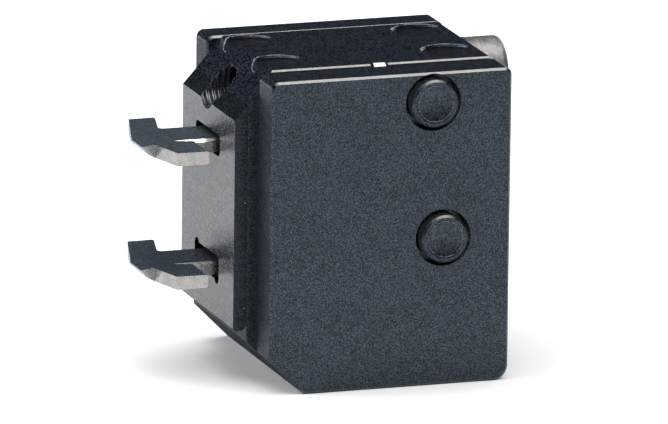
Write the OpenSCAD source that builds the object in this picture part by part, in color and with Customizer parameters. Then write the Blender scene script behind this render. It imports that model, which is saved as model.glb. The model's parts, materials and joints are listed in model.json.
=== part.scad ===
// Miniature clip-on extensometer with a fixed upper blade and a swinging lower blade.
// Modules work from the lower left corner of the front cover: X right, Y back, Z up.
// The last lines move that corner so that the base centre is the origin.

/* [Covers] */
// Width of the cover plates
body_w = 9.96; // [9.6:0.02:10.4]
// Height of the housing
body_h = 12.7; // [12.5:0.1:13.5]
// Thickness of the front cover
front_cover_t = 1.67; // [1.6:0.01:1.75]
// Thickness of the back cover
back_cover_t = 1.4; // [1.3:0.05:1.6]
// Size of the 45 degree cut along the lower left edge
lower_cut = 1.45; // [1:0.05:1.8]
// Radius of the lower right corner
lower_corner_r = 0.6; // [0.2:0.05:1]
// Radius of the two top corners
top_corner_r = 0.3; // [0.1:0.05:0.6]
// Bevel round the edges of the covers
cover_bevel = 0.09; // [0.05:0.01:0.2]
// Radius of the recess that holds a cover plug
plug_recess_r = 1.15; // [1.1:0.01:1.2]
// Height of the plugs above the cover
plug_rise = 0.3; // [0.1:0.02:0.4]

/* [Frame] */
// Depth of the frame between the covers
frame_d = 6.63; // [6.55:0.01:6.7]
// Step from the right edge of the covers in to the frame
frame_inset = 0.2; // [0.05:0.05:0.3]
// Width of the groove in the top face between the front cover and the frame
seam_gap = 0.36; // [0.2:0.02:0.4]
// Radius of the round recesses in the top face
top_recess_r = 1.05; // [1:0.01:1.06]
// Depth of the round recesses in the top face
top_recess_depth = 1.1; // [1:0.05:1.3]

/* [Nose] */
// Reach of the nose past the left edge of the covers
nose_reach = 0.97; // [0.9:0.01:1.1]
// Thickness of the nose plate
nose_t = 0.55; // [0.4:0.05:0.7]
// Width of the slope at the top left
slope_w = 1.65; // [1.5:0.05:1.8]
// Height of the slope at the top left
slope_h = 1.85; // [1.7:0.05:2]
// Outer radius of the threaded hole in the slope
lock_mouth_r = 0.92; // [0.8:0.01:0.95]
// Radius of the inner part of the threaded hole
lock_hole_r = 0.7; // [0.6:0.01:0.72]

/* [Blades] */
// Distance between the two knife edges
gauge_length = 5; // [4.9:0.05:5.1]
// Height of the upper side of the lower blade
lower_blade_z = 4.6; // [4.5:0.02:4.64]
// Thickness of the blades
blade_t = 0.53; // [0.45:0.02:0.55]
// Reach of the knife edges past the nose face
blade_reach = 3.21; // [3:0.01:3.4]
// Width of the blade where it passes the nose
shank_w = 2.22; // [2:0.02:2.3]

/* [Flexure pivot] */
// Thickness of the flexure strips
strip_t = 0.1; // [0.06:0.01:0.14]
// Travel of the lower arm upwards in degrees
arm_up = 2; // [1:0.5:2]
// Travel of the lower arm downwards in degrees
arm_down = 1; // [0.5:0.5:1]

/* [Cable gland] */
// Outer radius of the gland
gland_r = 1.32; // [1.2:0.02:1.32]
// Reach of the gland past the right edge of the covers
gland_reach = 1.35; // [1:0.05:3]
// Radius of the cable hole in the gland's seal
cable_r = 0.5; // [0.45:0.05:0.55]

/* [Hidden] */
$fn = 64;
past = 1;

// Planes of the covers and the frame along Y
frame_y0 = front_cover_t;
frame_y1 = frame_y0 + frame_d;
body_d = frame_y1 + back_cover_t;
frame_x1 = body_w - frame_inset;
frame_corner_r = 0.08;

// Nose
nose_x0 = -nose_reach;
nose_x1 = nose_x0 + nose_t;
slope_x1 = nose_x0 + slope_w;
slope_z0 = body_h - slope_h;
lock_y = 5.33;
lock_z = 11.45;
lock_mouth_x1 = 0.2;
lock_hole_x1 = 1.9;

// Inner hollow of the frame
hollow_x0 = 0.55;
hollow_x1 = 9.15;
hollow_z0 = 2.2;
hollow_z1 = 10.5;

// Cover screws and their plugs, as [x, z]
cover_screw_spots = [[6.69, 11.5], [7.17, 5.99]];
cover_screw_r = 0.5;
plug_recess_depth = 0.9;
plug_len = 0.4;
plug_r = 0.96;
plug_edge = 0.09;
plug_dish_r = 0.71;
plug_dish_step = 0.03;
plug_dish_ball = 2.5;

// Top screws
top_screw_x = [1.45, 8.5];
top_screw_y = [3.5, 7.1];
top_screw_r = 0.55;
top_head_r = 0.95;
top_head_h = 0.6;
top_rim_bevel = 0.08;
top_plug_t = 0.35;
top_plug_gap = 0.03;

// Small screws and the gap of their holes
small_screw_r = 0.3;
small_head_r = 0.5;
small_head_h = 0.42;
screw_gap = 0.02;

// Blades and what holds them
mech_y = 5.1;
upper_blade_z = lower_blade_z + gauge_length;
tip_x = nose_x0 - blade_reach;
tip_drop = 0.05;
shank_y0 = mech_y - shank_w / 2;
shank_y1 = mech_y + shank_w / 2;
shank_x1 = 2.78;
clamp_x0 = 0.82;
clamp_t = 0.49;
blade_screw_x = [1.3, 2.33];
wing_x1 = -1.88;
wing_y = 2.07;
wing_corner_r = 0.1;

// Arms
arm_t = 1.06;
arm_x0 = 0.85;
arm_y = [2.7, 7.5];
upper_arm_y = [2.4, 8.0];

// Crossed flexure pivot; its axis runs along Y
pivot_x = 5.95;
pivot_z = 4.5;
strip_lanes = [[2.7, 3.9], [6.3, 7.5]];
cross_lane = [4.3, 5.9];
strip_z0 = 3.15;
strip_z1 = 6.85;
cross_x0 = 4.4;
cross_x1 = 8.2;
boss_x0 = pivot_x + strip_t / 2;
boss_z = [4.95, 7.1];
boss_relief_z1 = 5.45;
ledge_x0 = 6.4;
ledge_z0 = 3.6;
side_clamp_t = 0.38;
cross_clamp_t = 0.34;
fixed_clamp_z0 = 5.0;
moving_clamp_z1 = 4.0;
side_screw_fixed_z = 6.0;
side_screw_moving_z = 3.58;
cross_screw_moving_x = 4.95;
cross_screw_fixed_x = 7.4;

// Windows in the nose, as spans along Y and Z; the lower one leaves room for the travel
window_y = [3.54, 6.6];
window_r = 0.26;
ear_w = 0.56;
ear_h = 0.16;
blade_lift = (pivot_x - nose_x0) * sin(arm_up);
blade_drop = (pivot_x - nose_x0) * sin(arm_down);
upper_window_z = [upper_blade_z - blade_t - 0.13, upper_blade_z + 0.22];
lower_window_z = [lower_blade_z - blade_t - blade_drop - 0.04, lower_blade_z + blade_lift + 0.04];

// Bending beam and the fork that moves its tip
beam_x = 3.8;
beam_t = 0.2;
beam_lane = [4.2, 6.0];
beam_z0 = 4.95;
beam_top_z = upper_blade_z - 0.1;
beam_mount_x1 = 5.0;
beam_mount_z0 = 8.3;
beam_clamp_t = 0.4;
beam_screw_z = 8.95;
beam_screw_y = [4.65, 5.55];
fork_gap = 0.02;
prong_t = 0.28;
fork_floor_z = 4.7;
prong_z1 = 5.4;
gauge_t = 0.04;
gauge_z = [7.0, 7.8];
gauge_lanes = [[4.35, 4.95], [5.25, 5.85]];

// Travel stop pin through the lower arm
stop_x = 3.3;
stop_z = 3.53;
stop_pin_r = 0.25;
stop_play = 0.17;
stop_seat = 0.5;

// Cable gland
gland_y = 5.35;
gland_z = 11.38;
gland_x1 = body_w + gland_reach;
gland_spigot_r = 0.95;
gland_spigot_x0 = 9.15;
gland_edge = 0.24;
gland_bore_r = 0.8;
wire_way_x = 7.4;
wire_way_r = 0.45;
wire_channel_w = 0.6;

// Terminal board under the upper arm
board_x = [5.4, 8.6];
board_y = [3.3, 6.9];
board_t = 0.4;
lug_x = [5.9, 6.4, 6.9, 8.1];
lug_y = [3.8, 6.4];

// Locating key and the groove that it bridges
seam_bevel = 0.07;
seam_depth = 0.4;
key_x = 5.12;
key_w = 0.48;
key_play = 0.12;
key_y = [1.2, 2.3];
key_z = [11.7, 12.1];
key_rise = 0.02;
key_slant_y = [1.75, 2.1];
key_slant_drop = 0.22;

key_span = [key_x - key_w / 2, key_x + key_w / 2];

origin_x = (tip_x + gland_x1) / 2;
origin_y = body_d / 2;

// Box between two corners, given as spans along X, Y and Z
module span_box(xs, ys, zs) {
    translate([xs[0], ys[0], zs[0]]) cube([xs[1] - xs[0], ys[1] - ys[0], zs[1] - zs[0]]);
}

// Flat X-Z outline made solid from y0 to y1
module along_y(y0, y1) {
    translate([0, y1, 0]) rotate([90, 0, 0]) linear_extrude(y1 - y0) children();
}

module bore_x(y, z, r, x0, x1) {
    translate([x0, y, z]) rotate([0, 90, 0]) cylinder(r = r, h = x1 - x0);
}

module bore_y(x, z, r, y0, y1) {
    translate([x, y0, z]) rotate([-90, 0, 0]) cylinder(r = r, h = y1 - y0);
}

module bore_z(x, y, r, z0, z1) {
    translate([x, y, z0]) cylinder(r = r, h = z1 - z0);
}

// Cap screw along -Z with its seat at the origin and a hex socket in its head
module cap_screw(head_r, head_h, shank_r, shank_l) {
    edge = head_r * 0.12;
    difference() {
        rotate_extrude() polygon([
            [0, -shank_l], [shank_r - edge, -shank_l], [shank_r, edge - shank_l], [shank_r, 0],
            [head_r, 0], [head_r, head_h - edge], [head_r - edge, head_h], [0, head_h]
        ]);
        translate([0, 0, head_h * 0.45]) cylinder(r = head_r * 0.55, h = head_h, $fn = 6);
    }
}

// Corner piece to take off a right-angled corner at the origin, so that it becomes round
module corner_waste(r) {
    difference() {
        translate([-past, -past]) square(r + past);
        translate([r, r]) circle(r = r);
    }
}

// Outline of both covers in X and Z, smaller by inset all round
module cover_outline(inset) {
    w = body_w - 2 * inset;
    h = body_h - 2 * inset;
    cut = lower_cut - inset * (2 - sqrt(2));
    translate([inset, inset]) difference() {
        square([w, h]);
        polygon([[-past, -past], [cut + past, -past], [-past, cut + past]]);
        translate([w, 0]) mirror([1, 0]) corner_waste(lower_corner_r - inset);
        translate([0, h]) mirror([0, 1]) corner_waste(top_corner_r - inset);
        translate([w, h]) mirror([1, 0]) mirror([0, 1]) corner_waste(top_corner_r - inset);
    }
}

// Cover plate of thickness t with its outer face at y = 0
module cover_plate(t) {
    difference() {
        hull() {
            along_y(cover_bevel, t - cover_bevel) cover_outline(0);
            along_y(0, t) cover_outline(cover_bevel);
        }
        for (spot = cover_screw_spots) {
            bore_y(spot[0], spot[1], plug_recess_r, -past, plug_recess_depth);
            bore_y(spot[0], spot[1], cover_screw_r + screw_gap, 0, t + past);
        }
        bore_y(stop_x, stop_z, stop_pin_r, t - stop_seat, t + past);
    }
}

module back_side() {
    translate([0, body_d, 0]) mirror([0, 1, 0]) children();
}

module front_cover() {
    color("#3a4146") difference() {
        cover_plate(front_cover_t);
        span_box(key_span, [key_y[0], frame_y0 + past], key_z);
    }
}

module back_cover() {
    color("#3a4146") back_side() cover_plate(back_cover_t);
}

// Outline of the frame and the nose together, from the slope to the lower cut
module block_outline(x0) {
    difference() {
        polygon([
            [nose_x0, slope_z0], [nose_x0, lower_cut + nose_reach], [lower_cut, 0],
            [frame_x1, 0], [frame_x1, body_h], [slope_x1, body_h]
        ]);
        translate([nose_x0 - past, 0]) square([x0 - nose_x0 + past, body_h]);
        translate([frame_x1, 0]) mirror([1, 0]) corner_waste(lower_corner_r);
        translate([frame_x1, body_h]) mirror([1, 0]) mirror([0, 1]) corner_waste(frame_corner_r);
    }
}

// Y-Z rectangle with round corners, between the spans ys and zs
module rounded_span(ys, zs) {
    r = window_r;
    translate([ys[0] + r, zs[0]]) square([ys[1] - ys[0] - 2 * r, zs[1] - zs[0]]);
    translate([ys[0], zs[0] + r]) square([ys[1] - ys[0], zs[1] - zs[0] - 2 * r]);
    for (y = [ys[0] + r, ys[1] - r]) for (z = [zs[0] + r, zs[1] - r])
        translate([y, z]) circle(r = r);
}

// Two opposite corners of the lower window run out into ears
module blade_windows() {
    z0 = lower_window_z[0];
    z1 = lower_window_z[1];
    translate([nose_x0 - past, 0, 0]) rotate([90, 0, 90]) linear_extrude(past + 4) {
        rounded_span(window_y, upper_window_z);
        rounded_span(window_y, lower_window_z);
        rounded_span([window_y[0], window_y[0] + ear_w], [z0 - ear_h, z1]);
        rounded_span([window_y[1] - ear_w, window_y[1]], [z0, z1 + ear_h]);
    }
}

module lock_hole() {
    bore_x(lock_y, lock_z, lock_mouth_r, nose_x0 - past, lock_mouth_x1);
    bore_x(lock_y, lock_z, lock_hole_r, nose_x0, lock_hole_x1);
}

module nose_dowel_spots() {
    for (z = [3.1, 10.2]) for (y = [2.7, 7.4]) translate([nose_x1, y, z]) children();
}

// Groove behind the front cover, with a small bevel on the frame's edge
module seam_waste() {
    translate([0, frame_y0, body_h]) rotate([90, 0, 90]) linear_extrude(body_w)
        polygon([[-past, past], [-past, -seam_depth], [seam_gap, -seam_depth],
            [seam_gap, -seam_bevel], [seam_gap + seam_bevel, 0], [seam_gap + seam_bevel + past, past]]);
}

// Round recess of a top screw with a bevelled rim
module top_recess() {
    translate([0, 0, body_h - top_recess_depth])
        cylinder(r = top_recess_r, h = top_recess_depth + past);
    translate([0, 0, body_h - top_rim_bevel])
        cylinder(r1 = top_recess_r, r2 = top_recess_r + 2 * top_rim_bevel, h = 2 * top_rim_bevel);
}

module frame_holes() {
    for (x = top_screw_x) for (y = top_screw_y) {
        translate([x, y, 0]) top_recess();
        bore_z(x, y, top_screw_r + screw_gap, hollow_z1 - past, body_h);
    }
    for (spot = cover_screw_spots) {
        bore_y(spot[0], spot[1], cover_screw_r, frame_y0 - past, frame_y0 + 1.35);
        bore_y(spot[0], spot[1], cover_screw_r, frame_y1 - 1.35, frame_y1 + past);
    }
    for (lane = strip_lanes)
        bore_x((lane[0] + lane[1]) / 2, side_screw_fixed_z, small_screw_r, boss_x0 - past, 6.6);
    bore_z(cross_screw_fixed_x, mech_y, small_screw_r, ledge_z0 + 0.1, pivot_z);
    blade_windows();
    lock_hole();
    nose_dowel_spots() rotate([0, 90, 0]) cylinder(r = 0.25, h = 0.6);
    bore_x(gland_y, gland_z, gland_spigot_r, gland_spigot_x0, frame_x1 + past);
    span_box([wire_way_x, gland_spigot_x0 + past / 2],
        [gland_y - wire_channel_w / 2, gland_y + wire_channel_w / 2],
        [gland_z - wire_channel_w / 2, gland_z + wire_channel_w / 2]);
    bore_z(wire_way_x, gland_y, wire_way_r, hollow_z1 - past, gland_z);
    span_box([key_span[0] - key_play, key_span[1] + key_play], [frame_y0 - past, key_y[1]],
        [key_z[0], body_h + past]);
}

module housing_frame() {
    color("#33393e") difference() {
        union() {
            difference() {
                along_y(frame_y0, frame_y1) block_outline(nose_x1);
                span_box([hollow_x0, hollow_x1], [frame_y0 - past, frame_y1 + past],
                    [hollow_z0, hollow_z1]);
            }
            difference() {
                span_box([boss_x0, hollow_x1], [frame_y0, frame_y1], boss_z);
                span_box([boss_x0 - past, hollow_x1], [cross_lane[0] - 0.2, cross_lane[1] + 0.2],
                    [boss_z[0] - past, boss_relief_z1]);
            }
            span_box([ledge_x0, hollow_x1], [cross_lane[0] - 0.1, cross_lane[1] + 0.1],
                [ledge_z0, pivot_z - strip_t / 2]);
        }
        frame_holes();
        seam_waste();
    }
}

module nose_plate() {
    edge_r = 0.3;
    color("#40474c") difference() {
        along_y(frame_y0, frame_y1) difference() {
            intersection() {
                block_outline(nose_x0);
                translate([nose_x0, lower_cut + nose_reach - 0.1]) square([nose_t, body_h]);
            }
            translate([nose_x1, lower_cut + nose_reach - 0.1]) mirror([1, 0]) corner_waste(edge_r);
        }
        blade_windows();
        lock_hole();
        nose_dowel_spots() rotate([0, -90, 0]) cylinder(r = 0.25, h = 0.3);
    }
}

module nose_dowels() {
    color("silver") nose_dowel_spots() translate([-0.3, 0, 0]) rotate([0, 90, 0])
        cylinder(r = 0.25, h = 0.85);
}

module cover_screws(seat_y) {
    for (spot = cover_screw_spots) translate([spot[0], seat_y, spot[1]]) rotate([90, 0, 0])
        cap_screw(0.95, 0.5, cover_screw_r, 1.6);
}

module front_cover_screws() {
    color("dimgray") cover_screws(plug_recess_depth);
}

module back_cover_screws() {
    color("dimgray") back_side() cover_screws(plug_recess_depth);
}

// Button with a hollow ground in its face; it stands on the screw head and proud of the cover
module plugs() {
    h = plug_len + plug_rise;
    dish_up = sqrt(pow(plug_dish_ball, 2) - pow(plug_dish_r, 2));
    for (spot = cover_screw_spots) translate([spot[0], plug_len, spot[1]]) rotate([90, 0, 0])
        difference() {
            union() {
                cylinder(r = plug_r, h = h - plug_edge);
                translate([0, 0, h - plug_edge])
                    cylinder(r1 = plug_r, r2 = plug_r - plug_edge, h = plug_edge);
            }
            translate([0, 0, h - plug_dish_step]) cylinder(r = plug_dish_r, h = past);
            translate([0, 0, h - plug_dish_step + dish_up]) rotate([90, 0, 0])
                sphere(r = plug_dish_ball);
        }
}

module front_plugs() {
    color("#3a4146") plugs();
}

module back_plugs() {
    color("#3a4146") back_side() plugs();
}

module top_screws() {
    seat = body_h - top_recess_depth;
    color("#2c3034") for (x = top_screw_x) for (y = top_screw_y)
        translate([x, y, seat]) cap_screw(top_head_r, top_head_h, top_screw_r, 1.95);
}

// Discs over the top screws, a little below the top face
module top_plugs() {
    z0 = body_h - top_recess_depth + top_head_h;
    color("#33393e") for (x = top_screw_x) for (y = top_screw_y)
        bore_z(x, y, top_recess_r - top_plug_gap, z0, z0 + top_plug_t);
}

// Key with a sloping head in the groove; its foot goes into the front cover
module locating_key() {
    top = body_h + key_rise;
    color("wheat") translate([key_span[0], 0, 0]) rotate([90, 0, 90])
        linear_extrude(key_w) polygon([
            [key_y[0], key_z[0]], [key_y[1], key_z[0]], [key_y[1], top],
            [key_slant_y[1], top], [key_slant_y[0], top - key_slant_drop],
            [key_slant_y[0], key_z[1]], [key_y[0], key_z[1]]
        ]);
}

module upper_arm() {
    color("silver") difference() {
        union() {
            span_box([hollow_x0 + 0.1, hollow_x1 - 0.05], upper_arm_y, [upper_blade_z, hollow_z1]);
            span_box([beam_x + beam_t / 2, beam_mount_x1], beam_lane,
                [beam_mount_z0, upper_blade_z]);
        }
        for (x = top_screw_x) for (y = top_screw_y)
            bore_z(x, y, top_screw_r, upper_blade_z - past, hollow_z1 + past);
        for (x = blade_screw_x) bore_z(x, mech_y, small_screw_r, upper_blade_z - past, hollow_z1 - 0.2);
        bore_z(wire_way_x, gland_y, wire_way_r, upper_blade_z - past, hollow_z1 + past);
        for (y = beam_screw_y)
            bore_x(y, beam_screw_z, small_screw_r, beam_x, beam_mount_x1 - 0.1);
    }
}

module lower_arm() {
    top = lower_blade_z - blade_t;
    pad_x = [4.35, 5.5];
    fork_x0 = beam_x - beam_t / 2 - fork_gap - prong_t;
    fork_x1 = beam_x + beam_t / 2 + fork_gap + prong_t;
    color("silver") difference() {
        union() {
            span_box([arm_x0, pivot_x - strip_t / 2], arm_y, [top - arm_t, top]);
            span_box(pad_x, [cross_lane[0] - 0.1, cross_lane[1] + 0.1],
                [top, pivot_z - strip_t / 2]);
            span_box([fork_x0, fork_x1], beam_lane, [top, prong_z1]);
        }
        span_box([fork_x0 + prong_t, fork_x1 - prong_t], [arm_y[0], arm_y[1]],
            [fork_floor_z, prong_z1 + past]);
        for (x = blade_screw_x) bore_z(x, mech_y, small_screw_r, 3.3, top + past);
        for (lane = strip_lanes)
            bore_x((lane[0] + lane[1]) / 2, side_screw_moving_z, small_screw_r, 4.9, pivot_x);
        bore_z(cross_screw_moving_x, mech_y, small_screw_r, 3.4, pivot_z);
        bore_y(stop_x, stop_z, stop_pin_r + stop_play, arm_y[0] - past, arm_y[1] + past);
    }
}

// Blade seen from above: knife edge at the left, then the head, a notch and the shank
module blade_plan() {
    hook_x = -2.2;
    hook_y = 8.1;
    difference() {
        polygon([
            [tip_x, 3.62], [tip_x, 4.93], [-3.31, hook_y - 0.04], [hook_x, hook_y],
            [-2.62, shank_y1 + 0.17], [-2.5, shank_y1], [shank_x1, shank_y1],
            [shank_x1, shank_y0], [wing_x1, shank_y0], [wing_x1, wing_y],
            [-3.17, wing_y], [-3.62, 3.68]
        ]);
        translate([hook_x - 0.02, hook_y]) rotate(-12) mirror([1, 0]) mirror([0, 1])
            corner_waste(0.12);
    }
}

// Wheel that grinds a lens-shaped bevel into the front edge of the shank
module grinding_wheel(top_z) {
    bite = 0.08;
    half_l = 0.73;
    wheel_r = half_l * half_l / (2 * bite);
    translate([-1.62, shank_y0, top_z]) rotate([-45, 0, 0])
        translate([0, 0, wheel_r - bite]) rotate([90, 0, 0])
            cylinder(r = wheel_r, h = 0.2, center = true, $fn = 180);
}

// The knife edge is the line where the long lower bevel meets the short upper one
module knife_blade(top_z) {
    bevel_l = 0.56;
    difference() {
        translate([0, 0, top_z - blade_t]) linear_extrude(blade_t) blade_plan();
        along_y(0, body_d) polygon([
            [tip_x - past, top_z + past], [tip_x - past, top_z - tip_drop],
            [tip_x, top_z - tip_drop], [tip_x + bevel_l, top_z], [tip_x + bevel_l, top_z + past]
        ]);
        along_y(0, body_d) polygon([
            [tip_x - past, top_z - blade_t - past], [tip_x - past, top_z - tip_drop],
            [tip_x, top_z - tip_drop], [tip_x + 0.28, top_z - 0.38],
            [tip_x + bevel_l, top_z - blade_t], [tip_x + bevel_l, top_z - blade_t - past]
        ]);
        along_y(0, shank_y0) {
            translate([wing_x1, top_z]) mirror([1, 0]) mirror([0, 1]) corner_waste(wing_corner_r);
            translate([wing_x1, top_z - blade_t]) mirror([1, 0]) corner_waste(wing_corner_r);
        }
        grinding_wheel(top_z);
        for (x = blade_screw_x)
            bore_z(x, mech_y, small_screw_r + screw_gap, top_z - past, top_z + past);
    }
}

module upper_knife_blade() {
    color("#6b6f72") knife_blade(upper_blade_z);
}

module lower_knife_blade() {
    color("#6b6f72") knife_blade(lower_blade_z);
}

module blade_clamp(z0) {
    difference() {
        span_box([clamp_x0, shank_x1 + 0.05], [shank_y0, shank_y1], [z0, z0 + clamp_t]);
        for (x = blade_screw_x)
            bore_z(x, mech_y, small_screw_r + screw_gap, z0 - past, z0 + clamp_t + past);
    }
}

module upper_blade_clamp() {
    color("gray") blade_clamp(upper_blade_z - blade_t - clamp_t);
}

module lower_blade_clamp() {
    color("gray") blade_clamp(lower_blade_z);
}

module upper_blade_screws() {
    color("dimgray") for (x = blade_screw_x)
        translate([x, mech_y, upper_blade_z - blade_t - clamp_t]) mirror([0, 0, 1])
            cap_screw(small_head_r, small_head_h, small_screw_r, clamp_t + blade_t + 0.6);
}

module lower_blade_screws() {
    color("dimgray") for (x = blade_screw_x)
        translate([x, mech_y, lower_blade_z + clamp_t])
            cap_screw(small_head_r, small_head_h, small_screw_r, clamp_t + blade_t + 0.6);
}

module side_flexures() {
    color("gainsboro") for (lane = strip_lanes) difference() {
        span_box([pivot_x - strip_t / 2, pivot_x + strip_t / 2], lane, [strip_z0, strip_z1]);
        for (z = [side_screw_moving_z, side_screw_fixed_z])
            bore_x((lane[0] + lane[1]) / 2, z, small_screw_r + screw_gap, 5, 7);
    }
}

module cross_flexure() {
    color("gainsboro") difference() {
        span_box([cross_x0, cross_x1], cross_lane, [pivot_z - strip_t / 2, pivot_z + strip_t / 2]);
        for (x = [cross_screw_moving_x, cross_screw_fixed_x])
            bore_z(x, mech_y, small_screw_r + screw_gap, pivot_z - past, pivot_z + past);
    }
}

// Clamp plates of the upright strips, from x0 and between the heights z0 and z1
module side_clamps(x0, z0, z1, screw_z) {
    for (lane = strip_lanes) difference() {
        span_box([x0, x0 + side_clamp_t], lane, [z0, z1]);
        bore_x((lane[0] + lane[1]) / 2, screw_z, small_screw_r + screw_gap, x0 - past, x0 + past);
    }
}

module fixed_side_clamps() {
    color("gray") side_clamps(pivot_x - strip_t / 2 - side_clamp_t, fixed_clamp_z0, strip_z1,
        side_screw_fixed_z);
}

module moving_side_clamps() {
    color("gray") side_clamps(pivot_x + strip_t / 2, strip_z0, moving_clamp_z1,
        side_screw_moving_z);
}

module cross_clamp(x0, x1, screw_x) {
    z0 = pivot_z + strip_t / 2;
    difference() {
        span_box([x0, x1], cross_lane, [z0, z0 + cross_clamp_t]);
        bore_z(screw_x, mech_y, small_screw_r + screw_gap, z0 - past, z0 + past);
    }
}

module fixed_cross_clamp() {
    color("gray") cross_clamp(ledge_x0 + 0.05, cross_x1, cross_screw_fixed_x);
}

module moving_cross_clamp() {
    color("gray") cross_clamp(cross_x0, 5.5, cross_screw_moving_x);
}

module fixed_flexure_screws() {
    x = pivot_x - strip_t / 2 - side_clamp_t;
    color("dimgray") {
        for (lane = strip_lanes)
            translate([x, (lane[0] + lane[1]) / 2, side_screw_fixed_z]) rotate([0, -90, 0])
                cap_screw(small_head_r, small_head_h, small_screw_r, 1.0);
        translate([cross_screw_fixed_x, mech_y, pivot_z + strip_t / 2 + cross_clamp_t])
            cap_screw(small_head_r, small_head_h, small_screw_r, 1.1);
    }
}

module moving_flexure_screws() {
    x = pivot_x + strip_t / 2 + side_clamp_t;
    color("dimgray") {
        for (lane = strip_lanes)
            translate([x, (lane[0] + lane[1]) / 2, side_screw_moving_z]) rotate([0, 90, 0])
                cap_screw(small_head_r, small_head_h, small_screw_r, 1.3);
        translate([cross_screw_moving_x, mech_y, pivot_z + strip_t / 2 + cross_clamp_t])
            cap_screw(small_head_r, small_head_h, small_screw_r, 1.4);
    }
}

module bending_beam() {
    color("gainsboro") difference() {
        span_box([beam_x - beam_t / 2, beam_x + beam_t / 2], beam_lane, [beam_z0, beam_top_z]);
        for (y = beam_screw_y)
            bore_x(y, beam_screw_z, small_screw_r + screw_gap, beam_x - past, beam_x + past);
    }
}

module beam_clamp() {
    x1 = beam_x - beam_t / 2;
    color("gray") difference() {
        span_box([x1 - beam_clamp_t, x1], beam_lane, [beam_mount_z0, beam_top_z]);
        for (y = beam_screw_y)
            bore_x(y, beam_screw_z, small_screw_r + screw_gap, x1 - past, x1 + past);
    }
}

module beam_clamp_screws() {
    x = beam_x - beam_t / 2 - beam_clamp_t;
    color("dimgray") for (y = beam_screw_y)
        translate([x, y, beam_screw_z]) rotate([0, -90, 0])
            cap_screw(0.42, small_head_h, small_screw_r, beam_clamp_t + beam_t + 0.7);
}

module strain_gauges() {
    color("goldenrod") for (lane = gauge_lanes) for (x = [beam_x - beam_t / 2 - gauge_t,
        beam_x + beam_t / 2]) span_box([x, x + gauge_t], lane, gauge_z);
}

module terminal_board() {
    color("darkgreen") difference() {
        span_box(board_x, board_y, [upper_blade_z - board_t, upper_blade_z]);
        bore_z(wire_way_x, gland_y, wire_way_r, upper_blade_z - past, upper_blade_z + past);
    }
}

module solder_lugs() {
    z = upper_blade_z - board_t;
    color("gold") for (x = lug_x) for (y = lug_y)
        translate([x, y, z]) mirror([0, 0, 1]) rotate_extrude()
            polygon([[0, 0], [0.18, 0], [0.13, 0.08], [0, 0.12]]);
}

module travel_stop_pin() {
    color("silver") bore_y(stop_x, stop_z, stop_pin_r, frame_y0 - stop_seat,
        frame_y1 + stop_seat);
}

module cable_gland() {
    color("#c9cccd") translate([0, gland_y, gland_z]) rotate([0, 90, 0]) rotate_extrude()
        difference() {
            polygon([
                [gland_bore_r, gland_spigot_x0], [gland_spigot_r, gland_spigot_x0],
                [gland_spigot_r, frame_x1], [gland_r, frame_x1],
                [gland_r, gland_x1], [gland_bore_r, gland_x1]
            ]);
            translate([gland_r, gland_x1]) mirror([1, 0]) mirror([0, 1]) corner_waste(gland_edge);
        }
}

module gland_seal() {
    color("#222222") translate([0, gland_y, gland_z]) rotate([0, 90, 0]) rotate_extrude()
        polygon([
            [cable_r, gland_spigot_x0], [gland_bore_r, gland_spigot_x0],
            [gland_bore_r, gland_x1 - 0.15], [cable_r, gland_x1 - 0.15]
        ]);
}

module place() {
    translate([-origin_x, -origin_y, 0]) children();
}

place() front_cover();
place() back_cover();
place() housing_frame();
place() nose_plate();
place() nose_dowels();
place() front_cover_screws();
place() back_cover_screws();
place() front_plugs();
place() back_plugs();
place() top_screws();
place() top_plugs();
place() locating_key();
place() upper_arm();
place() lower_arm();
place() upper_knife_blade();
place() lower_knife_blade();
place() upper_blade_clamp();
place() lower_blade_clamp();
place() upper_blade_screws();
place() lower_blade_screws();
place() side_flexures();
place() cross_flexure();
place() fixed_side_clamps();
place() moving_side_clamps();
place() fixed_cross_clamp();
place() moving_cross_clamp();
place() fixed_flexure_screws();
place() moving_flexure_screws();
place() bending_beam();
place() beam_clamp();
place() beam_clamp_screws();
place() strain_gauges();
place() terminal_board();
place() solder_lugs();
place() travel_stop_pin();
place() cable_gland();
place() gland_seal();
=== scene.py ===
import json
import math

import bpy
import bmesh
from mathutils import Matrix, Vector


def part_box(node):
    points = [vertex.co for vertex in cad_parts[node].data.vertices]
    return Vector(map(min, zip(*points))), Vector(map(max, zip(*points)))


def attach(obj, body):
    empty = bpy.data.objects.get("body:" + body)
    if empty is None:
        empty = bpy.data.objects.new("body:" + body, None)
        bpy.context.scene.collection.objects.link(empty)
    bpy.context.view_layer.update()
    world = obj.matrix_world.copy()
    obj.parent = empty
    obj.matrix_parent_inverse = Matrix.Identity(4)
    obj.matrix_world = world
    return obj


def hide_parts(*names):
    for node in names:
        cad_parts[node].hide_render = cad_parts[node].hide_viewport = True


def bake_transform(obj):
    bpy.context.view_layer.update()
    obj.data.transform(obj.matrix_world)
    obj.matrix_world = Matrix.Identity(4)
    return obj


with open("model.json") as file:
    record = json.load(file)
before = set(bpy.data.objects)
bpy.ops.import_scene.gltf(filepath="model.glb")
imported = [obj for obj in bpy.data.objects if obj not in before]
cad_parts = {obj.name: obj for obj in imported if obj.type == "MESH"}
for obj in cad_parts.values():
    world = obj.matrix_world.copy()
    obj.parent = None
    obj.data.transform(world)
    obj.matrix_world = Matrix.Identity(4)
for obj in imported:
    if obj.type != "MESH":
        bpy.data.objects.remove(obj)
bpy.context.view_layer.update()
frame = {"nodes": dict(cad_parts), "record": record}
print("frame loaded")

mm = 0.001


def addObject(name, data):
    thing = bpy.data.objects.new(name, data)
    bpy.context.collection.objects.link(thing)
    return thing


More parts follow.
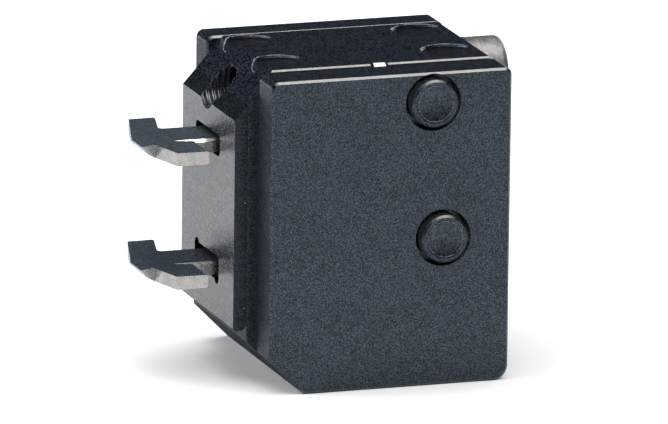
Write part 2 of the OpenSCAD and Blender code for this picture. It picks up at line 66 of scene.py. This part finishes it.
# where the camera stands, lengths in mm
cameraView = dict(
    turn=18.8,            # degrees to the left of the front cover
    rise=13.98,           # degrees above the level of the target
    roll=0.71,            # degrees it leans, its right side up
    distance=529.44,      # a long lens
    target=(1.435, 0.15, 6.35),
    slide=(0.6582, 0.3653),     # how far it then moves to its left and down
    pixelsPerMm=25.1814,  # at the target
    imageWidth=668,       # pixels
    sensorWidth=36,
    nearest=10,           # what is nearer isn't seen
)


def makeCamera():
    look = cameraView
    turn, rise, roll = (math.radians(look[angle]) for angle in ("turn", "rise", "roll"))
    level = math.cos(rise)
    back = Vector((-math.sin(turn) * level, -math.cos(turn) * level, math.sin(rise)))
    right = Vector((0, 0, 1)).cross(back).normalized()
    up = back.cross(right)
    across = math.cos(roll) * right + math.sin(roll) * up
    upward = -math.sin(roll) * right + math.cos(roll) * up
    data = bpy.data.cameras.new("camera")
    data.sensor_width = look["sensorWidth"]
    data.lens = look["sensorWidth"] * look["pixelsPerMm"] * look["distance"] / look["imageWidth"]
    data.clip_start = look["nearest"] * mm
    slideX, slideY = look["slide"]
    place = Vector(look["target"]) - across * slideX - upward * slideY + back * look["distance"]
    camera = addObject("camera", data)
    turned = Matrix((across, upward, back)).transposed().to_4x4()
    camera.matrix_world = Matrix.Translation(place * mm) @ turned
    bpy.context.scene.camera = camera


# softboxes that face the part: where they hang and their size in mm, brightness of their face;
# one that isn't mirrored lights the part but leaves no image in its gloss
softboxes = dict(
    overheadBox=dict(place=(-40, -30, 400), size=(640, 460), brightness=3.2),
    frontStrip=dict(place=(130, -104, 380), size=(90, 40), brightness=14, color=(1, 0.96, 0.92)),
    leftWindow=dict(place=(-430, 170, 190), size=(260, 260), brightness=8, mirrored=False),
    rightWindow=dict(place=(390, 250, 165), size=(300, 200), brightness=3),
)

# the dark room round the part
room = dict(color=(0.023, 0.028, 0.034, 1))


def makeLight():
    world = bpy.data.worlds.new("room")
    bpy.context.scene.world = world
    world.use_nodes = True
    world.node_tree.nodes["Background"].inputs["Color"].default_value = room["color"]
    for name, look in softboxes.items():
        lamp = bpy.data.lights.new(name, "AREA")
        lamp.shape = "RECTANGLE"
        lamp.size, lamp.size_y = (side * mm for side in look["size"])
        lamp.energy = look["brightness"] * math.pi * lamp.size * lamp.size_y
        lamp.color = look.get("color", (1, 1, 1))
        box = addObject(name, lamp)
        box.location = Vector(look["place"]) * mm
        box.rotation_euler = box.location.to_track_quat("Z", "Y").to_euler()
        box.visible_glossy = look.get("mirrored", True)


def newMaterial(name):
    material = bpy.data.materials.new(name)
    material.use_nodes = True
    tree = material.node_tree
    tree.nodes.clear()
    out = tree.nodes.new("ShaderNodeOutputMaterial")
    shader = tree.nodes.new("ShaderNodeBsdfPrincipled")
    tree.links.new(shader.outputs[0], out.inputs[0])
    return material, tree, shader


def millimetres(tree, stretch=(1, 1, 1)):   # object space counted in mm
    place = tree.nodes.new("ShaderNodeTexCoord")
    scale = tree.nodes.new("ShaderNodeMapping")
    scale.inputs["Scale"].default_value = [s / mm for s in stretch]
    tree.links.new(place.outputs["Object"], scale.inputs["Vector"])
    return scale.outputs["Vector"]


def noise(tree, vector, perMm, detail=4, rough=0.55):
    node = tree.nodes.new("ShaderNodeTexNoise")
    node.inputs["Scale"].default_value = perMm
    node.inputs["Detail"].default_value = detail
    node.inputs["Roughness"].default_value = rough
    tree.links.new(vector, node.inputs["Vector"])
    return node.outputs["Fac"]


def cells(tree, vector, perMm):   # small patches: outputs Color, random for each, and Distance
    node = tree.nodes.new("ShaderNodeTexVoronoi")
    node.inputs["Scale"].default_value = perMm
    tree.links.new(vector, node.inputs["Vector"])
    return node.outputs


def remap(tree, value, source=(0.3, 0.7), target=(0, 1)):   # source: what a noise mostly spans
    node = tree.nodes.new("ShaderNodeMapRange")
    node.inputs["From Min"].default_value, node.inputs["From Max"].default_value = source
    node.inputs["To Min"].default_value, node.inputs["To Max"].default_value = target
    tree.links.new(value, node.inputs["Value"])
    return node.outputs["Result"]


def giveTo(tree, socket, value):   # a link from another socket, or a plain value
    if hasattr(value, "is_linked"):
        tree.links.new(value, socket)
    else:
        socket.default_value = value


def mathNode(tree, operation, first, second):
    node = tree.nodes.new("ShaderNodeMath")
    node.operation = operation
    tree.links.new(first, node.inputs[0])
    tree.links.new(second, node.inputs[1])
    return node.outputs[0]


def dotProduct(tree, vector, other):
    node = tree.nodes.new("ShaderNodeVectorMath")
    node.operation = "DOT_PRODUCT"
    for value, socket in zip((vector, other), node.inputs):
        giveTo(tree, socket, value)
    return node.outputs["Value"]


def mixValue(tree, amount, first, second):
    node = tree.nodes.new("ShaderNodeMix")
    for value, socket in zip((amount, first, second), (0, 2, 3)):   # its sockets for numbers
        giveTo(tree, node.inputs[socket], value)
    return node.outputs[0]


def mixColor(tree, amount, first, second):
    node = tree.nodes.new("ShaderNodeMix")
    node.data_type = "RGBA"
    for value, socket in zip((amount, first, second), (0, 6, 7)):   # its sockets for colours
        giveTo(tree, node.inputs[socket], value)
    return node.outputs[2]


def bump(tree, height, depth, normal=None):   # depth in mm
    node = tree.nodes.new("ShaderNodeBump")
    node.inputs["Strength"].default_value = 1
    node.inputs["Distance"].default_value = depth * mm
    tree.links.new(height, node.inputs["Height"])
    if normal is not None:
        tree.links.new(normal, node.inputs["Normal"])
    return node.outputs["Normal"]


def roundedNormal(tree, radius, samples=6):   # rounds the sharp edges in the light, radius in mm
    bevel = tree.nodes.new("ShaderNodeBevel")
    bevel.samples = samples
    bevel.inputs["Radius"].default_value = radius * mm
    return bevel.outputs["Normal"]


def sharpEdges(tree, rounded, span=(0.86, 0.99)):   # 1 where the rounded normal turns away, else 0
    geometry = tree.nodes.new("ShaderNodeNewGeometry")
    return remap(tree, dotProduct(tree, rounded, geometry.outputs["Normal"]), span, (1, 0))


def facing(tree, direction, span=(0.8, 0.95)):   # 1 on the sides that face this way
    place = tree.nodes.new("ShaderNodeTexCoord")
    return remap(tree, dotProduct(tree, place.outputs["Normal"], direction), span)


def nooks(tree, reach, span=(0.1, 0.6), samples=8):   # 1 deep in holes and grooves, 0 in the open
    around = tree.nodes.new("ShaderNodeAmbientOcclusion")
    around.samples = samples
    around.inputs["Distance"].default_value = reach * mm
    return remap(tree, around.outputs["AO"], span, (1, 0))


# black anodised aluminium of the covers, bead blasted first
coverFinish = dict(
    color=(0.0, 0.0, 0.001, 1),
    paleColor=(0.022, 0.0275, 0.039, 1),
    shade=1,              # makes both colours lighter or darker
    roughness=(0.16, 0.24),
    ior=1.74,
    darkTint=(0.31, 0.385, 0.46, 1),    # tint of the reflection between the grains
    tint=(0.70, 0.86, 1.0, 1),          # and on them
    grainPerMm=26,
    grainStretch=(1, 0.45, 1),          # the grains run along the depth
    grainDepth=0.006,     # mm
    contrast=(0.33, 0.67),              # a narrower span makes starker grains
    cloudPerMm=0.9,
    cloudShare=0.18,      # how much of the tone is clouds, and not grains
    edgeRadius=0.012,     # mm
    edgeColor=(0.05, 0.055, 0.06, 1),
    wearPerMm=4,          # patches of wear on the edges
    wearRange=(0.1, 1),
    # painted light: a paler colour deep in holes, grooves and recesses lifts the shade there
    nookFillColor=(0.10, 0.112, 0.125, 1),
    nookFillReach=0.6,        # mm, how wide a nook is that still gets the painted fill light
    polishPerMm=5,        # patches of more and less gloss
    bluntTowards=(-0.71, 0, -0.71),     # the ends are rougher, the underside still more
    bluntRange=(0.5, 0.95),
    bluntRoughness=1.0,
    paintedHighlightTowards=(0, -0.71, 0.71),     # bevels facing up and to the front get a paler colour and a warmer gleam: painted highlight
    paintedHighlightRange=(0.94, 0.99),
    paintedHighlightColor=(0.12, 0.12, 0.12, 1),
    paintedHighlightTint=(0.94, 0.92, 0.89, 1),
    faceTowards=None,     # side with colours of its own
    speckColor=None,      # of a few bright grains
)

# the block between the covers
blockFinish = dict(coverFinish, shade=0.9)

# the thread in the lock hole, a paler copy of the cover finish that lifts the shade inside the
# hole: painted light
threadFinish = dict(coverFinish, shade=1.5)

# pale finish of the recess lips and dish edges, a painted highlight
lipHighlightFinish = dict(coverFinish, shade=9)

# the cover plugs are turned, so they shine less
plugFinish = dict(coverFinish, paleColor=(0.028, 0.034, 0.041, 1), roughness=(0.26, 0.36))

# discs over the top screws, duller
discFinish = dict(
    coverFinish,
    paleColor=(0.014, 0.018, 0.023, 1),
    roughness=(0.3, 0.4),
    ior=1.25,
    nookFillColor=(0.018, 0.021, 0.025, 1),
)

# the nose plate: coarser grains with a smoother skin that mirrors the blades
noseFinish = dict(
    coverFinish,
    color=(0.002, 0.003, 0.004, 1),
    paleColor=(0.012, 0.0155, 0.019, 1),
    roughness=(0.15, 0.21),
    ior=1.50,
    darkTint=(0.40, 0.50, 0.60, 1),
    tint=(0.70, 0.84, 0.98, 1),
    grainPerMm=20,
    grainStretch=(1, 0.55, 1),
    grainDepth=0.010,
    edgeRadius=0.015,
    edgeColor=(0.034, 0.036, 0.039, 1),
    nookFillColor=(0.03, 0.033, 0.037, 1),
    nookFillReach=0.3,
    bluntRange=(0.82, 0.97),
    bluntRoughness=0.8,
    paintedHighlightTowards=None,
    faceTowards=(-1, 0, 0),
    faceColor=(0.001, 0.002, 0.004, 1),
    facePaleColor=(0.066, 0.071, 0.082, 1),
    speckColor=(0.35, 0.35, 0.36, 1),
    specksPerMm=1.5,
    speckRadius=0.03,     # mm
)

blackFinishes = dict(
    coverAnodised=coverFinish,
    blockAnodised=blockFinish,
    noseAnodised=noseFinish,
    threadAnodised=threadFinish,
    plugAnodised=plugFinish,
    discAnodised=discFinish,
    lipHighlightAnodised=lipHighlightFinish,
)


def shaded(color, shade):
    return [part * shade for part in color[:3]] + [1]


def anodisedMaterial(name, look):
    material, tree, shader = newMaterial(name)
    vector = millimetres(tree)
    along = millimetres(tree, look["grainStretch"])
    rounded = roundedNormal(tree, look["edgeRadius"])

    dots = cells(tree, along, look["grainPerMm"])["Color"]
    cloud = noise(tree, vector, look["cloudPerMm"], rough=0.6)
    grains = remap(tree, mixValue(tree, look["cloudShare"], dots, cloud), look["contrast"])
    dark = shaded(look["color"], look["shade"])
    pale = shaded(look["paleColor"], look["shade"])
    body = mixColor(tree, grains, dark, pale)
    if look["faceTowards"]:
        face = mixColor(tree, grains, look["faceColor"], look["facePaleColor"])
        body = mixColor(tree, facing(tree, look["faceTowards"]), body, face)

    patches = remap(tree, noise(tree, vector, look["wearPerMm"]), target=look["wearRange"])
    wear = mathNode(tree, "MULTIPLY", sharpEdges(tree, rounded), patches)
    body = mixColor(tree, wear, body, look["edgeColor"])
    # painted light: a paler colour deep in holes, grooves and recesses lifts the shade there
    body = mixColor(tree, nooks(tree, look["nookFillReach"]), body, look["nookFillColor"])
    if look["speckColor"]:
        middle = cells(tree, vector, look["specksPerMm"])["Distance"]
        rim = look["speckRadius"] * look["specksPerMm"]
        speck = remap(tree, middle, (rim / 2, rim), (1, 0))
        body = mixColor(tree, speck, body, look["speckColor"])

    gleam = mixColor(tree, grains, look["darkTint"], look["tint"])
    # painted highlight: bevels facing up and to the front get a paler colour and a warmer gleam
    if look["paintedHighlightTowards"]:
        paintedHighlight = facing(tree, look["paintedHighlightTowards"], look["paintedHighlightRange"])
        body = mixColor(tree, paintedHighlight, body, look["paintedHighlightColor"])
        gleam = mixColor(tree, paintedHighlight, gleam, look["paintedHighlightTint"])

    polish = remap(tree, noise(tree, vector, look["polishPerMm"]), target=look["roughness"])
    blunt = facing(tree, look["bluntTowards"], look["bluntRange"])
    rough = mixValue(tree, blunt, polish, look["bluntRoughness"])
    relief = noise(tree, along, look["grainPerMm"], detail=2, rough=0.7)
    tree.links.new(body, shader.inputs["Base Color"])
    tree.links.new(gleam, shader.inputs["Specular Tint"])
    tree.links.new(rough, shader.inputs["Roughness"])
    tree.links.new(bump(tree, relief, look["grainDepth"], rounded), shader.inputs["Normal"])
    shader.inputs["IOR"].default_value = look["ior"]
    return material


# what the metals share, unless a metal below says otherwise
anyMetal = dict(
    metallic=1.0,
    glanceTint=(1, 1, 1, 1),            # tint of what it mirrors at a low angle
    grindStretch=(1, 1, 1),             # a low number draws the grinding out along that axis
    edgeRadius=0.02,      # mm
    cloudPerMm=2.2,
    cloudShare=0.5,       # how much of the tone is clouds, and not grinding
    contrast=(0.38, 0.62),
    polishPerMm=6,        # patches of more and less gloss
    topTowards=None,      # side with a colour of its own
)

# grindDepth is in mm
metals = dict(
    bladeSteel=dict(                    # ground and hardened
        color=(0.47, 0.457, 0.446, 1),
        darkColor=(0.33, 0.322, 0.316, 1),
        roughness=(0.20, 0.30),
        grindPerMm=22,
        grindDepth=0.0004,
        grindStretch=(1, 0.06, 1),
        edgeRadius=0.010,
        metallic=0.95,
        topTowards=(0, 0, 1),           # the flat tops are paler and bluer: painted cool reflection
        topColor=(0.53, 0.60, 0.68, 1),
        glanceTint=(0.56, 0.68, 0.80, 1),
    ),
    blackenedSteel=dict(
        color=(0.035, 0.036, 0.04, 1),
        darkColor=(0.02, 0.021, 0.023, 1),
        roughness=(0.3, 0.45),
        grindPerMm=14,
        grindDepth=0.0012,
    ),
    screwSteel=dict(
        color=(0.30, 0.30, 0.31, 1),
        darkColor=(0.22, 0.22, 0.23, 1),
        roughness=(0.25, 0.4),
        grindPerMm=14,
        grindDepth=0.001,
    ),
    brightSteel=dict(
        color=(0.82, 0.79, 0.75, 1),
        darkColor=(0.66, 0.63, 0.6, 1),
        roughness=(0.2, 0.32),
        grindPerMm=20,
        grindDepth=0.0006,
    ),
    machinedAlloy=dict(
        color=(0.72, 0.73, 0.74, 1),
        darkColor=(0.6, 0.61, 0.62, 1),
        roughness=(0.28, 0.42),
        grindPerMm=18,
        grindDepth=0.0012,
        grindStretch=(0.1, 1, 1),
    ),
    clampSteel=dict(
        color=(0.44, 0.44, 0.45, 1),
        darkColor=(0.36, 0.36, 0.37, 1),
        roughness=(0.3, 0.42),
        grindPerMm=18,
        grindDepth=0.001,
    ),
    springSteel=dict(
        color=(0.62, 0.62, 0.64, 1),
        darkColor=(0.54, 0.55, 0.58, 1),
        roughness=(0.16, 0.26),
        grindPerMm=24,
        grindDepth=0.0004,
    ),
    glandMetal=dict(                    # turned, with fine rings round its axis
        color=(0.335, 0.33, 0.325, 1),
        darkColor=(0.175, 0.174, 0.171, 1),
        roughness=(0.48, 0.58),
        grindPerMm=10,
        grindDepth=0.004,
        grindStretch=(1, 0.15, 0.15),
        edgeRadius=0.04,
    ),
    solder=dict(
        color=(0.7, 0.7, 0.68, 1),
        darkColor=(0.55, 0.55, 0.54, 1),
        roughness=(0.2, 0.35),
        grindPerMm=8,
        grindDepth=0.001,
    ),
)


def metalMaterial(name, ownLook):
    look = dict(anyMetal, **ownLook)
    material, tree, shader = newMaterial(name)
    vector = millimetres(tree)
    rounded = roundedNormal(tree, look["edgeRadius"])
    cloud = noise(tree, vector, look["cloudPerMm"])
    along = millimetres(tree, look["grindStretch"])
    grinding = noise(tree, along, look["grindPerMm"], detail=2, rough=0.5)
    tone = remap(tree, mixValue(tree, look["cloudShare"], cloud, grinding), look["contrast"])
    body = mixColor(tree, tone, look["color"], look["darkColor"])
    if look["topTowards"]:
        # painted reflection: the side that faces topTowards gets a paler, bluer colour
        body = mixColor(tree, facing(tree, look["topTowards"]), body, look["topColor"])
    patches = noise(tree, vector, look["polishPerMm"], detail=3)
    polish = remap(tree, patches, target=look["roughness"])
    tree.links.new(body, shader.inputs["Base Color"])
    tree.links.new(polish, shader.inputs["Roughness"])
    tree.links.new(bump(tree, grinding, look["grindDepth"], rounded), shader.inputs["Normal"])
    shader.inputs["Metallic"].default_value = look["metallic"]
    shader.inputs["Specular Tint"].default_value = look["glanceTint"]
    return material


# film, board and rubber inside, depth in mm
dullFinishes = dict(
    gaugeFilm=dict(
        color=(0.55, 0.28, 0.06, 1),
        paleColor=(0.7, 0.42, 0.12, 1),
        roughness=(0.35, 0.5),
        spotsPerMm=9,
        depth=0.001,
    ),
    boardLaminate=dict(
        color=(0.02, 0.12, 0.05, 1),
        paleColor=(0.04, 0.18, 0.08, 1),
        roughness=(0.35, 0.5),
        spotsPerMm=7,
        depth=0.001,
    ),
    sealRubber=dict(
        color=(0.012, 0.012, 0.013, 1),
        paleColor=(0.022, 0.022, 0.023, 1),
        roughness=(0.6, 0.75),
        spotsPerMm=12,
        depth=0.002,
    ),
)


def dullMaterial(name, look):
    material, tree, shader = newMaterial(name)
    spots = noise(tree, millimetres(tree), look["spotsPerMm"])
    body = mixColor(tree, remap(tree, spots), look["color"], look["paleColor"])
    tree.links.new(body, shader.inputs["Base Color"])
    tree.links.new(remap(tree, spots, target=look["roughness"]), shader.inputs["Roughness"])
    tree.links.new(bump(tree, spots, look["depth"]), shader.inputs["Normal"])
    return material


def makeMaterials():
    materials = {}
    for finishes, make in ((blackFinishes, anodisedMaterial), (metals, metalMaterial),
                           (dullFinishes, dullMaterial)):
        for name, look in finishes.items():
            materials[name] = make(name, look)
    return materials


# which CAD nodes wear each finish
wornBy = dict(
    coverAnodised=["front_cover", "back_cover"],
    blockAnodised=["housing_frame"],
    noseAnodised=["nose_plate"],
    plugAnodised=["front_plugs", "back_plugs"],
    discAnodised=["top_plugs"],
    bladeSteel=["upper_knife_blade", "lower_knife_blade"],
    blackenedSteel=["top_screws", "front_cover_screws", "back_cover_screws"],
    screwSteel=["upper_blade_screws", "lower_blade_screws", "fixed_flexure_screws",
                "moving_flexure_screws", "beam_clamp_screws"],
    brightSteel=["locating_key", "nose_dowels", "travel_stop_pin"],
    machinedAlloy=["upper_arm", "lower_arm"],
    clampSteel=["upper_blade_clamp", "lower_blade_clamp", "fixed_side_clamps",
                "moving_side_clamps", "fixed_cross_clamp", "moving_cross_clamp", "beam_clamp"],
    glandMetal=["cable_gland"],
    boardLaminate=["terminal_board"],
    solder=["solder_lugs"],
    sealRubber=["gland_seal"],
)


def dressNodes(materials):
    for finish, names in wornBy.items():
        for name in names:
            worn = frame["nodes"][name].data.materials
            worn.clear()
            worn.append(materials[finish])


# plain white paper under the part
floorPaper = dict(
    width=1500,           # mm
    color=(0.80, 0.80, 0.80, 1),
    seenColor=(0.97, 0.97, 0.97, 1),    # what the camera sees of it
    roughness=0.9,
    lift=0.05,            # light of its own that camera and reflections see
    liftColor=(1, 1, 1, 1),
)


def makeFloor():
    look = floorPaper
    material, tree, shader = newMaterial("floorPaper")
    lightPath = tree.nodes.new("ShaderNodeLightPath").outputs
    seen = lightPath["Is Camera Ray"]
    color = mixColor(tree, seen, look["color"], look["seenColor"])
    for kind in ("Is Glossy Ray", "Is Transmission Ray"):
        seen = mathNode(tree, "MAXIMUM", seen, lightPath[kind])
    tree.links.new(color, shader.inputs["Base Color"])
    tree.links.new(remap(tree, seen, (0, 1), (0, look["lift"])), shader.inputs["Emission Strength"])
    shader.inputs["Emission Color"].default_value = look["liftColor"]
    shader.inputs["Roughness"].default_value = look["roughness"]

    half = look["width"] * mm / 2
    corners = [(-half, -half, 0), (half, -half, 0), (half, half, 0), (-half, half, 0)]
    mesh = bpy.data.meshes.new("floor")
    mesh.from_pydata(corners, [], [(0, 1, 2, 3)])
    mesh.materials.append(material)
    addObject("floor", mesh)


# thin pieces that bend as the arm swings, cut across into segments from start to end, both heights
# or places along X in the frame, in mm
bendingPieces = dict(
    side_flexures=dict(name="side_flexure_strips", start=(0, 0, 5.0), end=(0, 0, 4.0), cuts=8,
                       finish="springSteel", slot="spring_steel"),
    cross_flexure=dict(name="cross_flexure_strip", start=(2.885, 0, 0), end=(1.935, 0, 0), cuts=8,
                       finish="springSteel", slot="spring_steel"),
    bending_beam=dict(name="gauged_beam", start=(0, 0, 8.3), end=(0, 0, 4.95), cuts=20,
                      finish="springSteel", slot="spring_steel"),
    strain_gauges=dict(name="gauge_films", start=(0, 0, 8.3), end=(0, 0, 4.95), cuts=20,
                       finish="gaugeFilm", slot="gauge_film"),
)


def makeBendingPieces(materials):
    for node, look in bendingPieces.items():
        start = Vector(look["start"]) * mm
        end = Vector(look["end"]) * mm
        form = bmesh.new()
        form.from_mesh(frame["nodes"][node].data)
        for cut in range(look["cuts"] + 1):
            everything = form.verts[:] + form.edges[:] + form.faces[:]
            point = start.lerp(end, cut / look["cuts"])
            bmesh.ops.bisect_plane(form, geom=everything, plane_co=point, plane_no=end - start)
        mesh = bpy.data.meshes.new(look["name"])
        form.to_mesh(mesh)
        form.free()
        mesh.polygons.foreach_set("use_smooth", [False] * len(mesh.polygons))
        mesh.materials.append(materials[look["finish"]])
        piece = addObject(look["name"], mesh)
        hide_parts(node)
        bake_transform(piece)


def skinRings(name, points, count):   # closed mesh through rings of count points each
    faces = []
    for first in range(0, len(points) - count, count):
        for k in range(count):
            a, b = first + k, first + (k + 1) % count
            faces.append((a, b, b + count, a + count))
    faces += [tuple(range(count))[::-1], tuple(range(len(points) - count, len(points)))]
    mesh = bpy.data.meshes.new(name)
    mesh.from_pydata(points, [], faces)
    return mesh


def cutByPlane(mesh, point, normal):   # takes off what is in front of the plane and closes the cut
    form = bmesh.new()
    form.from_mesh(mesh)
    everything = form.verts[:] + form.edges[:] + form.faces[:]
    bmesh.ops.bisect_plane(form, geom=everything, plane_co=point, plane_no=normal, clear_outer=True)
    rims = [edge for edge in form.edges if edge.is_boundary]
    bmesh.ops.holes_fill(form, edges=rims, sides=0)
    bmesh.ops.recalc_face_normals(form, faces=form.faces[:])
    form.to_mesh(mesh)
    form.free()


# thread cut in the mouth of the lock hole, lengths in mm
lockThread = dict(
    mouthRadius=0.92,
    length=1.12,          # from the nose face to the bottom of the mouth
    slope=(1.65, 1.85),   # width and height of the sloping face that the hole opens in
    pitch=0.25,
    depth=0.13,
    rootWidth=0.21,
    crestWidth=0.04,
    bedding=0.02,         # how far the lining sits in the wall
    lining=0.01,          # its thickness between the turns
    stepsPerTurn=60,
)


def makeLockThread(material):
    look = lockThread
    hole = next(m for m in frame["record"]["mounts"] if m["name"] == "lock_screw_hole")
    centreY, centreZ = hole["pos_m"][1:]
    noseLow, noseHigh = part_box("nose_plate")
    wall = look["mouthRadius"] + look["bedding"]
    crest = look["mouthRadius"] - look["depth"]
    root = look["mouthRadius"] - look["lining"]
    half = [(look["crestWidth"] / 2, crest), (look["rootWidth"] / 2, root),
            (look["pitch"] / 2, root), (look["pitch"] / 2, wall)]
    section = [(-along, radius) for along, radius in half[::-1]] + half
    steps = round(look["length"] / look["pitch"] * look["stepsPerTurn"])
    points = []
    for step in range(steps + 1):
        turns = step / look["stepsPerTurn"]
        angle = 2 * math.pi * turns
        for along, radius in section:
            x = noseLow[0] + (look["pitch"] * turns + along) * mm
            y = centreY + radius * math.cos(angle) * mm
            z = centreZ + radius * math.sin(angle) * mm
            points.append((x, y, z))
    mesh = skinRings("lock_hole_thread", points, len(section))
    width, height = look["slope"]
    cutByPlane(mesh, (noseHigh[0], 0, noseHigh[2]), (-height, 0, width))
    cutByPlane(mesh, (noseLow[0], 0, 0), (-1, 0, 0))
    mesh.materials.append(material)
    thread = addObject("lock_hole_thread", mesh)
    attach(thread, "housing")


# round rod along a path that never runs in the steady direction
def makeTube(name, path, radii, sides, material, steady=(0, 0, 1)):
    points = []
    for k, centre in enumerate(path):
        ahead = (path[min(k + 1, len(path) - 1)] - path[max(k - 1, 0)]).normalized()
        across = ahead.cross(Vector(steady)).normalized()
        upward = across.cross(ahead)
        for side in range(sides):
            angle = 2 * math.pi * side / sides
            points.append(centre + radii[k] * (math.cos(angle) * across + math.sin(angle) * upward))
    mesh = skinRings(name, points, sides)
    mesh.polygons.foreach_set("use_smooth", [True] * len(mesh.polygons))
    mesh.materials.append(material)
    return addObject(name, mesh)


# rounded lip along the far side of the top recesses, in a pale finish that paints their highlight,
# lengths in mm
recessRim = dict(
    discRadius=1.02,      # of the discs in the recesses
    radius=1.07,          # of the lip's middle line
    leftSector=(50, 204),       # degrees about the recess, from +X
    rightSector=(40, 160),
    thickness=0.040,
    thinnest=0.1,         # share of the thickness at both ends
    taper=0.8,            # lower is blunter
    sink=0.02,            # how far the middle line lies under the top face
    steps=60,
    sides=10,
)


def makeRecessRims(material):
    look = recessRim
    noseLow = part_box("nose_plate")[0]
    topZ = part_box("housing_frame")[1][2]
    discsLow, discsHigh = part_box("top_plugs")
    width, height = lockThread["slope"]
    slopeTop = noseLow[0] + width * mm
    inset = look["discRadius"] * mm
    ring = look["radius"] * mm
    columns = dict(left=discsLow[0] + inset, right=discsHigh[0] - inset)
    rows = dict(front=discsLow[1] + inset, back=discsHigh[1] - inset)
    for column, centreX in columns.items():
        start, end = (math.radians(angle) for angle in look[column + "Sector"])
        for row, centreY in rows.items():
            path, radii = [], []
            for step in range(look["steps"] + 1):
                share = step / look["steps"]
                angle = start + (end - start) * share
                x = centreX + ring * math.cos(angle)
                y = centreY + ring * math.sin(angle)
                fall = max(0, slopeTop - x) * height / width     # where the rim runs down the slope
                path.append(Vector((x, y, topZ - fall - look["sink"] * mm)))
                fullness = max(look["thinnest"], math.sin(math.pi * share) ** look["taper"])
                radii.append(look["thickness"] * mm * fullness)
            rim = makeTube(f"{row}_{column}_recess_rim", path, radii, look["sides"], material)
            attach(rim, "housing")


# rounded edge of the dish in each cover plug, in a pale finish that paints a highlight line,
# lengths in mm
dishEdge = dict(
    plugRadius=0.96,
    radius=0.72,          # of the dish
    thickness=0.014,
    steps=64,
    sides=8,
)


def makeDishEdges(material):
    look = dishEdge
    inset = look["plugRadius"] * mm
    ring = look["radius"] * mm
    for side, node in dict(front="front_plugs", back="back_plugs").items():
        low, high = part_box(node)
        faceY = low[1] if side == "front" else high[1]
        middles = dict(
            upper=(low[0] + inset, high[2] - inset),
            lower=(high[0] - inset, low[2] + inset),
        )
        for level, (centreX, centreZ) in middles.items():
            path = []
            for step in range(look["steps"] + 1):
                angle = 2 * math.pi * step / look["steps"]
                x = centreX + ring * math.cos(angle)
                z = centreZ + ring * math.sin(angle)
                path.append(Vector((x, faceY, z)))
            radii = [look["thickness"] * mm] * len(path)
            name = f"{side}_{level}_dish_edge"
            edge = makeTube(name, path, radii, look["sides"], material, steady=(0, 1, 0))
            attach(edge, "housing")


makeCamera()
makeFloor()
makeLight()
print("studio ready")

materials = makeMaterials()
dressNodes(materials)
print("CAD nodes dressed")

makeBendingPieces(materials)

makeLockThread(materials["threadAnodised"])
makeRecessRims(materials["lipHighlightAnodised"])
makeDishEdges(materials["lipHighlightAnodised"])
print("thread, recess rims and dish edges added")

bpy.context.scene.view_settings.view_transform = "Standard"
